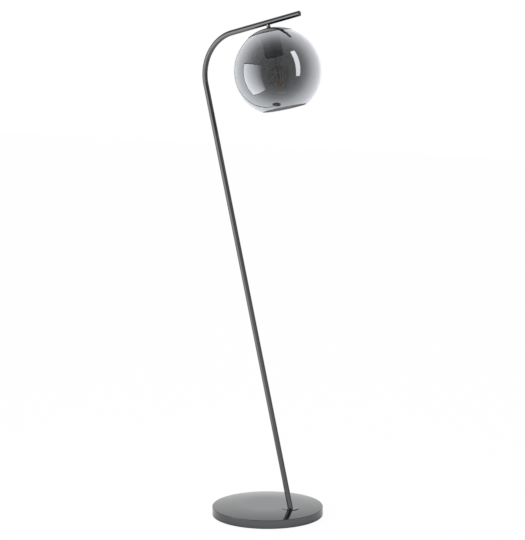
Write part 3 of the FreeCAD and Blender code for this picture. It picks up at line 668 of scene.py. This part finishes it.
bulb = {
    "seat": 48.0,
    "neckDiameter": 23.6,
    "neckTop": 54.0,
    "neckInset": 0.25,          # the neck is drawn in where it goes into the cap
    "wall": 0.8,
    "tip": -66.5,
    "outline": [(33.0, 11.8), (21.0, 12.0), (11.0, 16.5), (3.0, 25.0), (-6.0, 31.0), (-13.0, 31.0),
                (-23.0, 28.6), (-37.0, 24.6), (-51.0, 19.8), (-60.0, 14.6), (-64.5, 8.2)],   # height, radius
    "turns": 128,
    "spanSteps": 8,
}
bulbStem = {
    "gap": 0.1,
    "top": 53.0,
    "tip": 12.0,
    "flareEdge": 1.2,
    "flareLength": 14.0,
    "waistRadius": 3.4,
    "rodRadius": 2.6,
    "rodEnd": 4.0,
    "beadEnd": 1.0,
    "tipRadius": 1.6,
    "radii": [0, 0.3, 0.6, 8.0, 1.0, 1.0, 0.6, 0],
    "turns": 48,
}
filament = {
    "count": 4,
    "firstAngle": 45,
    "diameter": 1.9,
    "length": 50.0,
    "topCircle": 26.0,
    "bottomCircle": 11.0,
    "top": 7.0,
    "sides": 16,
}
wire = {"diameter": 0.8, "sunk": 0.5, "knotDrop": 2.0, "sides": 12}
domeSteps = 6       # rings in each round end of a rod


def bulbOutline(inset):
    # Half outline of the blown bulb, from its neck to its tip: a smooth curve through the outline's points.
    radius = bulb["neckDiameter"] / 2 - inset
    knots = [(radius, bulb["seat"])]
    knots += [(width - inset, height) for height, width in bulb["outline"]]
    knots.append((0.0, bulb["tip"] + inset))
    return naturalCurve(knots, bulb["spanSteps"], (0.0, -1.0), (-1.0, 0.0))


def buildBulbGlass():
    # Inner outline back from the tip, across the neck's top and down the outer outline, revolved.
    outer = bulbOutline(0.0)
    inner = bulbOutline(bulb["wall"])
    neck = bulb["neckDiameter"] / 2 - bulb["neckInset"]
    top = np.array([[neck - bulb["wall"], bulb["neckTop"]], [neck, bulb["neckTop"]]])
    outline = np.concatenate([inner[::-1], top, outer])
    grid = leaning(revolved(outline, bulb["turns"]), globeCentre)
    piece = addPiece("bulbGlass", [(grid, True, False)], finishes["clear_glass"], "bulb", ["bulb_glass"])
    piece.data.materials.append(bulbInner)
    inside = len(inner) - 1     # the mesh lists its faces turn by turn, the inner side first in each turn
    index = np.arange(len(piece.data.polygons)) % (len(outline) - 1)
    piece.data.polygons.foreach_set("material_index", (index < inside).astype(np.int32))


def buildBulbStem():
    # Glass flare, revolved, that narrows to a pinched rod with a small bead at its tip.
    flare = bulb["neckDiameter"] / 2 - bulb["wall"] - bulbStem["gap"]
    top, tip, rod = bulbStem["top"], bulbStem["tip"], bulbStem["rodRadius"]
    corners = [(0, top), (flare, top), (flare, top - bulbStem["flareEdge"]),
               (bulbStem["waistRadius"], top - bulbStem["flareLength"]), (rod, tip + bulbStem["rodEnd"]),
               (rod, tip + bulbStem["beadEnd"]), (bulbStem["tipRadius"], tip), (0, tip)]
    grid = revolved(roundedOutline(corners, bulbStem["radii"]), bulbStem["turns"])
    addPiece("bulbStem", [(leaning(grid, globeCentre), True, True)], stemGlass, "bulb",
             ["bulb_stem"])


def filamentEnds(index):
    # Top and bottom of a stick that leans in from the wide circle to the narrow one, at its own angle.
    angle = math.radians(filament["firstAngle"] + 360 / filament["count"] * index)
    heading = np.array([math.cos(angle), math.sin(angle), 0.0])
    spread = (filament["topCircle"] - filament["bottomCircle"]) / 2
    fall = math.sqrt(filament["length"] ** 2 - spread ** 2)
    top = heading * filament["topCircle"] / 2 + np.array([0.0, 0.0, filament["top"]])
    bottom = heading * filament["bottomCircle"] / 2 + np.array([0.0, 0.0, filament["top"] - fall])
    return top, bottom


def capsule(start, end, radius, sides):
    # Round-ended rod from start to end: circles whose radius follows a quarter circle at each end.
    length = np.linalg.norm(end - start)
    angles = np.radians(np.linspace(90, 0, domeSteps + 1))
    dome = np.stack([radius - radius * np.sin(angles), radius * np.cos(angles)], 1)
    along = np.concatenate([dome[:, 0], length - dome[::-1, 0]])
    radii = np.concatenate([dome[:, 1], dome[::-1, 1]])
    direction = (end - start) / length
    return swept(start + along[:, None] * direction, radii, sides)


def buildFilaments():
    # Straight round-ended sticks between the ends that filamentEnds gives.
    rods = []
    for index in range(filament["count"]):
        rod = capsule(*filamentEnds(index), filament["diameter"] / 2, filament["sides"])
        rods.append((leaning(rod, globeCentre), True, False))
    addPiece("bulbFilaments", rods, finishes["amber_phosphor"], "bulb", ["bulb_filaments"])


def buildWires():
    # Centre wire, and straight wires from its two ends to both ends of each filament.
    thickness, sides = wire["diameter"] / 2, wire["sides"]
    root = np.array([0.0, 0.0, bulbStem["tip"] + wire["sunk"]])
    knot = np.array([0.0, 0.0, filamentEnds(0)[1][2] - wire["knotDrop"]])
    rods = [capsule(root, knot, thickness, sides)]
    for index in range(filament["count"]):
        top, bottom = filamentEnds(index)
        rods.append(capsule(root, top, thickness, sides))
        rods.append(capsule(knot, bottom, thickness, sides))
    grids = [(leaning(rod, globeCentre), True, False) for rod in rods]
    addPiece("bulbWires", grids, finishes["support_wire"], "bulb", ["bulb_support_wires"])


buildBulbGlass()
buildBulbStem()
buildFilaments()
buildWires()
print("bulb made")


# Camera, as the photograph was taken

view = {
    "azimuth": 33.64,
    "distance": 5416.77,
    "height": 1514.9,
    "pitch": 8.18,
    "yaw": 0.16,
    "focalPixels": 1866.82,
    "imageWidth": 525.0,
    "filmWidth": 36.0,
    "farthest": 100.0,          # metres
}


def buildCamera():
    # Place on a circle about the lamp, heading back at it, lowered by pitch and turned by yaw.
    azimuth, turned, pitch = (math.radians(view[name]) for name in ("azimuth", "yaw", "pitch"))
    data = bpy.data.cameras.new("camera")
    camera = bpy.data.objects.new("camera", data)
    bpy.context.scene.collection.objects.link(camera)
    camera.location = Vector((view["distance"] * math.sin(azimuth), -view["distance"] * math.cos(azimuth),
                              view["height"])) * mm
    turned += azimuth
    level = math.cos(pitch)
    heading = Vector((-math.sin(turned) * level, math.cos(turned) * level, -math.sin(pitch)))
    camera.rotation_euler = heading.to_track_quat("-Z", "Y").to_euler()
    data.sensor_fit = "HORIZONTAL"
    data.sensor_width = view["filmWidth"]
    data.lens = view["focalPixels"] / view["imageWidth"] * data.sensor_width
    data.clip_end = view["farthest"]
    bpy.context.scene.camera = camera


buildCamera()


# Studio: even white light. What shiny pieces mirror is a white room that is dim behind the camera, with
# two soft boxes and a pale floor. The globe's sharp mirror is flagged off from the floor.

studio = {
    "plainLevel": 0.95,
    "dimCentre": 9.3,           # degrees: height of the room's dimmest part, which the globe's middle mirrors
    "mirrorRamp": [(0.0, 0.8), (0.022, 1.0), (0.05, 1.1), (0.1, 1.15), (0.19, 1.09), (0.3, 0.94), (0.39, 0.78),
                   (0.48, 0.58), (0.56, 0.4), (0.64, 0.265), (0.72, 0.17), (0.787, 0.12), (0.854, 0.075),
                   (0.91, 0.058), (1.0, 0.045)],
    "hazyRamp": [(0.0, 1.25), (0.055, 1.0), (0.23, 0.7), (0.42, 0.5), (0.58, 0.42), (0.72, 0.36), (0.88, 0.3),
                 (1.0, 0.3)],
    "lowBand": 0.9,
    "lowBandTop": (0.18, 0.22),
    "lowBandShares": (0.6, 0.75),
    "leftBox": [(-1377, -685, 378), (-106, -1360, 390), (-25, -1318, -1243), (-1108, -549, -1272)],
    "leftLevels": (1.95, 1.75),     # at the foot and at the top, as in the next two
    "leftFade": (0.5, 1.1),
    "hazyLevels": (1.8, 2.7),
    "rightBox": [(1572, -278, 1803), (1589, 226, 1783), (2076, 105, -338), (2064, -299, -348)],
    "rightLevels": (1.45, 1.8),
    "frameShare": 0.03,
    "frameLevel": 0.08,
    "floorSize": 24.0,          # metres
    "floorShadow": 0.06,
}


def emptyTree(owner):
    owner.use_nodes = True
    owner.node_tree.nodes.clear()
    return owner.node_tree


def math2(tree, operation, first, second):
    return addNode(tree, "ShaderNodeMath", {"operation": operation}, _0=first, _1=second).outputs[0]


def levelCurve(tree, share, points):
    # Level against a share from 0 to 1, through the points.
    top = max(level for place, level in points)
    node = addNode(tree, "ShaderNodeFloatCurve", Value=share)
    curve = node.mapping.curves[0]
    curve.points[0].location = (points[0][0], points[0][1] / top)
    curve.points[1].location = (points[-1][0], points[-1][1] / top)
    for place, level in points[1:-1]:
        curve.points.new(place, level / top)
    node.mapping.update()
    return math2(tree, "MULTIPLY", node.outputs[0], top)


def blended(tree, share, first, second):
    return addNode(tree, "ShaderNodeMix", {"data_type": "FLOAT"}, _0=share, _2=first, _3=second).outputs[0]


def buildWorld():
    # White to the camera, an even level to plain surfaces, and to shiny ones a level that falls with the
    # cosine between the mirrored direction and the one towards the dim part behind the camera.
    world = bpy.data.worlds.new("studio")
    bpy.context.scene.world = world
    tree = emptyTree(world)
    azimuth, raised = math.radians(view["azimuth"]), math.radians(studio["dimCentre"])
    towards = (math.sin(azimuth) * math.cos(raised), -math.cos(azimuth) * math.cos(raised), math.sin(raised))
    direction = addNode(tree, "ShaderNodeTexCoord").outputs["Generated"]
    facing = addNode(tree, "ShaderNodeVectorMath", {"operation": "DOT_PRODUCT"}, _0=direction, _1=towards)
    share = addNode(tree, "ShaderNodeMapRange", _0=facing.outputs["Value"], _1=-1.0, _2=1.0, _3=0.0, _4=1.0)
    path = addNode(tree, "ShaderNodeLightPath").outputs
    mirrored = levelCurve(tree, share.outputs[0], studio["mirrorRamp"])
    hazy = levelCurve(tree, share.outputs[0], studio["hazyRamp"])
    height = addNode(tree, "ShaderNodeSeparateXYZ", Vector=direction).outputs[2]
    low = ranged(tree, height, studio["lowBand"], 0.0, *studio["lowBandTop"])
    low = math2(tree, "MULTIPLY", low, ranged(tree, share.outputs[0], 0.0, 1.0, *studio["lowBandShares"]))
    hazy = math2(tree, "MAXIMUM", hazy, low)
    shiny = blended(tree, path["Is Singular Ray"], hazy, mirrored)
    level = blended(tree, path["Is Glossy Ray"], studio["plainLevel"], shiny)
    surround = addNode(tree, "ShaderNodeBackground", Color=colour("#ffffff"), Strength=level)
    backdrop = addNode(tree, "ShaderNodeBackground", Color=colour("#ffffff"), Strength=1.0)
    mixed = addNode(tree, "ShaderNodeMixShader", Fac=path["Is Camera Ray"], _1=surround.outputs[0],
                    _2=backdrop.outputs[0])
    addNode(tree, "ShaderNodeOutputWorld", Surface=mixed.outputs[0])


def panelObject(name, corners):
    # Flat panel with its corners measured from the globe's centre.
    points = (globeCentre + np.array(corners, float)) * mm
    mesh = bpy.data.meshes.new(name)
    mesh.from_pydata(points.tolist(), [], [(0, 1, 2, 3)])
    uv = mesh.uv_layers.new(name="UVMap")
    uv.data.foreach_set("uv", [0.0, 1.0, 1.0, 1.0, 1.0, 0.0, 0.0, 0.0])
    panel = bpy.data.objects.new(name, mesh)
    bpy.context.scene.collection.objects.link(panel)
    material = bpy.data.materials.new(name + " glow")
    mesh.materials.append(material)
    panel.visible_camera = False
    panel.visible_transmission = False
    return emptyTree(material)


def glowing(tree, mirrored, hazy):
    # Light of a panel: one level in the globe's sharp mirror, another in hazy metal.
    path = addNode(tree, "ShaderNodeLightPath").outputs
    level = blended(tree, path["Is Singular Ray"], hazy, mirrored)
    glow = addNode(tree, "ShaderNodeEmission", Color=colour("#ffffff"), Strength=level)
    addNode(tree, "ShaderNodeOutputMaterial", Surface=glow.outputs[0])


def panelAxes(tree):
    place = addNode(tree, "ShaderNodeTexCoord").outputs["UV"]
    return addNode(tree, "ShaderNodeSeparateXYZ", Vector=place).outputs


def buildLeftBox():
    # Wide soft box with a dark frame: it fades from its left side to its right, faster near its top.
    tree = panelObject("leftSoftBox", studio["leftBox"])
    across, upward = panelAxes(tree)[:2]
    bright = ranged(tree, upward, *studio["leftLevels"], 0.0, 1.0)
    speed = ranged(tree, upward, *studio["leftFade"], 0.0, 1.0)
    fade = math2(tree, "POWER", math2(tree, "SUBTRACT", 1.0, across), speed)
    level = math2(tree, "MULTIPLY", bright, fade)
    reach = [math2(tree, "ABSOLUTE", math2(tree, "SUBTRACT", axis, 0.5), 0.0) for axis in (across, upward)]
    rim = math2(tree, "GREATER_THAN", math2(tree, "MAXIMUM", *reach), 0.5 - studio["frameShare"])
    level = blended(tree, rim, level, studio["frameLevel"])
    glowing(tree, level, ranged(tree, upward, *studio["hazyLevels"], 0.0, 1.0))


def buildRightBox():
    # Narrow strip box, a little dimmer towards its lower end.
    tree = panelObject("rightSoftBox", studio["rightBox"])
    upward = panelAxes(tree)[1]
    level = ranged(tree, upward, *studio["rightLevels"], 0.0, 1.0)
    glowing(tree, level, level)


def buildFloor():
    # Square floor, nearly all white to the camera with a little shaded paint, and clear to the sharp mirror.
    half = studio["floorSize"] / 2
    corners = [(-half, -half, 0), (half, -half, 0), (half, half, 0), (-half, half, 0)]
    mesh = bpy.data.meshes.new("floor")
    mesh.from_pydata(corners, [], [(0, 1, 2, 3)])
    floor = bpy.data.objects.new("floor", mesh)
    bpy.context.scene.collection.objects.link(floor)
    material = bpy.data.materials.new("pale floor")
    tree = emptyTree(material)
    path = addNode(tree, "ShaderNodeLightPath").outputs
    paint = addNode(tree, "ShaderNodeBsdfDiffuse", Color=colour("#f4f4f4"))
    white = addNode(tree, "ShaderNodeEmission", Color=colour("#ffffff"), Strength=1.0)
    share = math2(tree, "MULTIPLY", path["Is Camera Ray"], 1.0 - studio["floorShadow"])
    seen = addNode(tree, "ShaderNodeMixShader", Fac=share, _1=paint.outputs[0], _2=white.outputs[0])
    clear = addNode(tree, "ShaderNodeBsdfTransparent")
    mixed = addNode(tree, "ShaderNodeMixShader", Fac=path["Is Singular Ray"], _1=seen.outputs[0],
                    _2=clear.outputs[0])
    addNode(tree, "ShaderNodeOutputMaterial", Surface=mixed.outputs[0])
    mesh.materials.append(material)


buildWorld()
buildLeftBox()
buildRightBox()
buildFloor()
bpy.context.scene.view_settings.view_transform = "Standard"
print("studio made")
